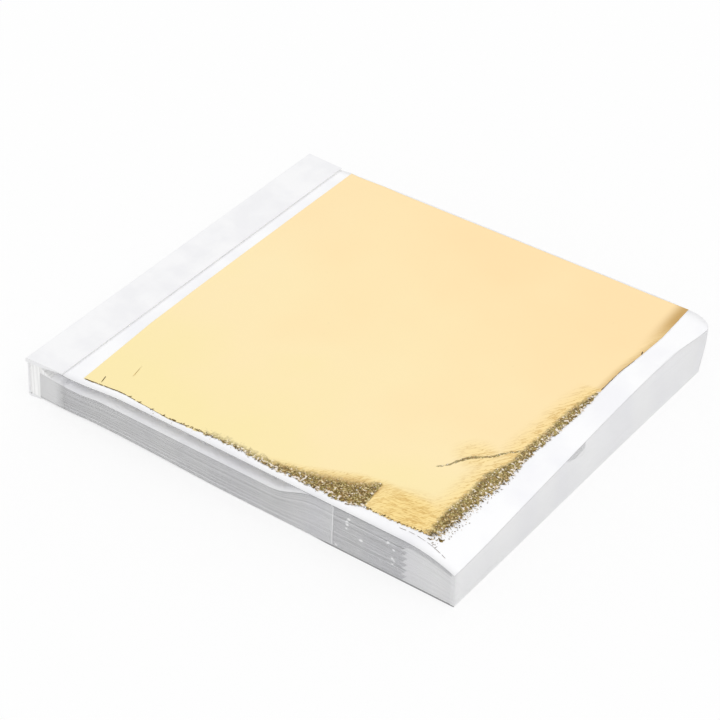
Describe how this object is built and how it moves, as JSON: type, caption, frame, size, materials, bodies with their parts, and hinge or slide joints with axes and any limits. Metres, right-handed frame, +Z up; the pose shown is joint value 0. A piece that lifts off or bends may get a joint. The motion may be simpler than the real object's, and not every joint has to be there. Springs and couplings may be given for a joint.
{
  "type": "gold leaf booklet",
  "caption": "Booklet of loose imitation gold leaves laid between white tissue pages, glued and strip-bound along one edge, with a leaf exposed on top.",
  "frame": {"origin": "middle of the booklet's base, on the table", "axes": "+X from the spine to the fore edge, +Y along the spine, +Z up"},
  "size_m": [0.0974, 0.0882, 0.01],
  "materials": {
    "binding_card": "uncoated white card",
    "cover_card": "uncoated white card",
    "spine_glue": "white padding glue",
    "tissue_paper": "smooth white tissue",
    "gold_leaf": "beaten metal leaf, bright, crinkled at the edges"
  },
  "bodies": {
    "binding": {"binding_strip": "binding_card", "spine_glue": "spine_glue", "back_cover": "cover_card", "bound_margins": "tissue_paper"},
    "page_01": {"page_01": "tissue_paper"},
    "page_02": {"page_02": "tissue_paper", "leaf_02": "gold_leaf"},
    "page_03": {"page_03": "tissue_paper", "leaf_03": "gold_leaf", "leaf_04": "gold_leaf"},
    "page_04": {"page_04": "tissue_paper"},
    "page_05": {"page_05": "tissue_paper", "leaf_05": "gold_leaf"},
    "page_06": {"page_06": "tissue_paper", "leaf_06": "gold_leaf"},
    "page_07": {"page_07": "tissue_paper", "leaf_07": "gold_leaf"},
    "page_08": {"page_08": "tissue_paper", "leaf_08": "gold_leaf"},
    "page_09": {"page_09": "tissue_paper", "leaf_09": "gold_leaf"},
    "page_10": {"page_10": "tissue_paper", "leaf_10": "gold_leaf"},
    "page_11": {"page_11": "tissue_paper", "leaf_11": "gold_leaf"},
    "page_12": {"page_12": "tissue_paper", "leaf_12": "gold_leaf"},
    "pages_013_020": {"pages_013_020": "tissue_paper", "leaves_013_020": "gold_leaf"},
    "pages_021_030": {"pages_021_030": "tissue_paper", "leaves_021_030": "gold_leaf"},
    "pages_031_040": {"pages_031_040": "tissue_paper", "leaves_031_040": "gold_leaf"},
    "pages_041_050": {"pages_041_050": "tissue_paper", "leaves_041_050": "gold_leaf"},
    "pages_051_060": {"pages_051_060": "tissue_paper", "leaves_051_060": "gold_leaf"},
    "pages_061_070": {"pages_061_070": "tissue_paper", "leaves_061_070": "gold_leaf"},
    "pages_071_080": {"pages_071_080": "tissue_paper", "leaves_071_080": "gold_leaf"},
    "pages_081_090": {"pages_081_090": "tissue_paper", "leaves_081_090": "gold_leaf"},
    "pages_091_100": {"pages_091_100": "tissue_paper", "leaves_091_100": "gold_leaf"},
    "leaf_01": {"leaf_01": "gold_leaf"}
  },
  "joints": [
    {"name": "page_01_turn", "type": "hinge", "parent": "binding", "child": "page_01", "pos_m": [-0.03877, 0, 0.0089], "axis": [0, -1, 0], "range_deg": [0, 150]},
    {"name": "page_02_turn", "type": "hinge", "parent": "binding", "child": "page_02", "pos_m": [-0.03858, 0, 0.00884], "axis": [0, -1, 0], "range_deg": [0, 140]},
    {"name": "page_03_turn", "type": "hinge", "parent": "binding", "child": "page_03", "pos_m": [-0.03843, 0, 0.00878], "axis": [0, -1, 0], "range_deg": [0, 130]},
    {"name": "page_04_turn", "type": "hinge", "parent": "binding", "child": "page_04", "pos_m": [-0.03834, 0, 0.00627], "axis": [0, -1, 0], "range_deg": [0, 90]},
    {"name": "page_05_turn", "type": "hinge", "parent": "binding", "child": "page_05", "pos_m": [-0.03826, 0, 0.00621], "axis": [0, -1, 0], "range_deg": [0, 85]},
    {"name": "page_06_turn", "type": "hinge", "parent": "binding", "child": "page_06", "pos_m": [-0.03818, 0, 0.00616], "axis": [0, -1, 0], "range_deg": [0, 80]},
    {"name": "page_07_turn", "type": "hinge", "parent": "binding", "child": "page_07", "pos_m": [-0.03811, 0, 0.0061], "axis": [0, -1, 0], "range_deg": [0, 75]},
    {"name": "page_08_turn", "type": "hinge", "parent": "binding", "child": "page_08", "pos_m": [-0.03805, 0, 0.00604], "axis": [0, -1, 0], "range_deg": [0, 70]},
    {"name": "page_09_turn", "type": "hinge", "parent": "binding", "child": "page_09", "pos_m": [-0.03798, 0, 0.00598], "axis": [0, -1, 0], "range_deg": [0, 65]},
    {"name": "page_10_turn", "type": "hinge", "parent": "binding", "child": "page_10", "pos_m": [-0.03792, 0, 0.00592], "axis": [0, -1, 0], "range_deg": [0, 60]},
    {"name": "page_11_turn", "type": "hinge", "parent": "binding", "child": "page_11", "pos_m": [-0.03787, 0, 0.00586], "axis": [0, -1, 0], "range_deg": [0, 55]},
    {"name": "page_12_turn", "type": "hinge", "parent": "binding", "child": "page_12", "pos_m": [-0.03781, 0, 0.00581], "axis": [0, -1, 0], "range_deg": [0, 50]},
    {"name": "pages_013_020_turn", "type": "hinge", "parent": "binding", "child": "pages_013_020", "pos_m": [-0.03776, 0, 0.00575], "axis": [0, -1, 0], "range_deg": [0, 45]},
    {"name": "pages_021_030_turn", "type": "hinge", "parent": "binding", "child": "pages_021_030", "pos_m": [-0.03757, 0, 0.00528], "axis": [0, -1, 0], "range_deg": [0, 40]},
    {"name": "pages_031_040_turn", "type": "hinge", "parent": "binding", "child": "pages_031_040", "pos_m": [-0.03736, 0, 0.0047], "axis": [0, -1, 0], "range_deg": [0, 35]},
    {"name": "pages_041_050_turn", "type": "hinge", "parent": "binding", "child": "pages_041_050", "pos_m": [-0.03718, 0, 0.00411], "axis": [0, -1, 0], "range_deg": [0, 30]},
    {"name": "pages_051_060_turn", "type": "hinge", "parent": "binding", "child": "pages_051_060", "pos_m": [-0.03703, 0, 0.00353], "axis": [0, -1, 0], "range_deg": [0, 25]},
    {"name": "pages_061_070_turn", "type": "hinge", "parent": "binding", "child": "pages_061_070", "pos_m": [-0.03691, 0, 0.00295], "axis": [0, -1, 0], "range_deg": [0, 20]},
    {"name": "pages_071_080_turn", "type": "hinge", "parent": "binding", "child": "pages_071_080", "pos_m": [-0.03681, 0, 0.00237], "axis": [0, -1, 0], "range_deg": [0, 15]},
    {"name": "pages_081_090_turn", "type": "hinge", "parent": "binding", "child": "pages_081_090", "pos_m": [-0.03675, 0, 0.00178], "axis": [0, -1, 0], "range_deg": [0, 10]},
    {"name": "pages_091_100_turn", "type": "hinge", "parent": "binding", "child": "pages_091_100", "pos_m": [-0.03673, 0, 0.0012], "axis": [0, -1, 0], "range_deg": [0, 5]},
    {"name": "leaf_01_lift", "type": "slide", "parent": "page_01", "child": "leaf_01", "axis": [0.9, 0, 0.4359], "range_m": [0, 0.04]}
  ],
  "couplings": [
    {"joint": "page_02_turn", "follows": "page_01_turn", "ratio": 0.93333},
    {"joint": "page_03_turn", "follows": "page_01_turn", "ratio": 0.86667},
    {"joint": "page_04_turn", "follows": "page_01_turn", "ratio": 0.6},
    {"joint": "page_05_turn", "follows": "page_01_turn", "ratio": 0.56667},
    {"joint": "page_06_turn", "follows": "page_01_turn", "ratio": 0.53333},
    {"joint": "page_07_turn", "follows": "page_01_turn", "ratio": 0.5},
    {"joint": "page_08_turn", "follows": "page_01_turn", "ratio": 0.46667},
    {"joint": "page_09_turn", "follows": "page_01_turn", "ratio": 0.43333},
    {"joint": "page_10_turn", "follows": "page_01_turn", "ratio": 0.4},
    {"joint": "page_11_turn", "follows": "page_01_turn", "ratio": 0.36667},
    {"joint": "page_12_turn", "follows": "page_01_turn", "ratio": 0.33333},
    {"joint": "pages_013_020_turn", "follows": "page_01_turn", "ratio": 0.3},
    {"joint": "pages_021_030_turn", "follows": "page_01_turn", "ratio": 0.26667},
    {"joint": "pages_031_040_turn", "follows": "page_01_turn", "ratio": 0.23333},
    {"joint": "pages_041_050_turn", "follows": "page_01_turn", "ratio": 0.2},
    {"joint": "pages_051_060_turn", "follows": "page_01_turn", "ratio": 0.16667},
    {"joint": "pages_061_070_turn", "follows": "page_01_turn", "ratio": 0.13333},
    {"joint": "pages_071_080_turn", "follows": "page_01_turn", "ratio": 0.1},
    {"joint": "pages_081_090_turn", "follows": "page_01_turn", "ratio": 0.066666},
    {"joint": "pages_091_100_turn", "follows": "page_01_turn", "ratio": 0.033333}
  ]
}
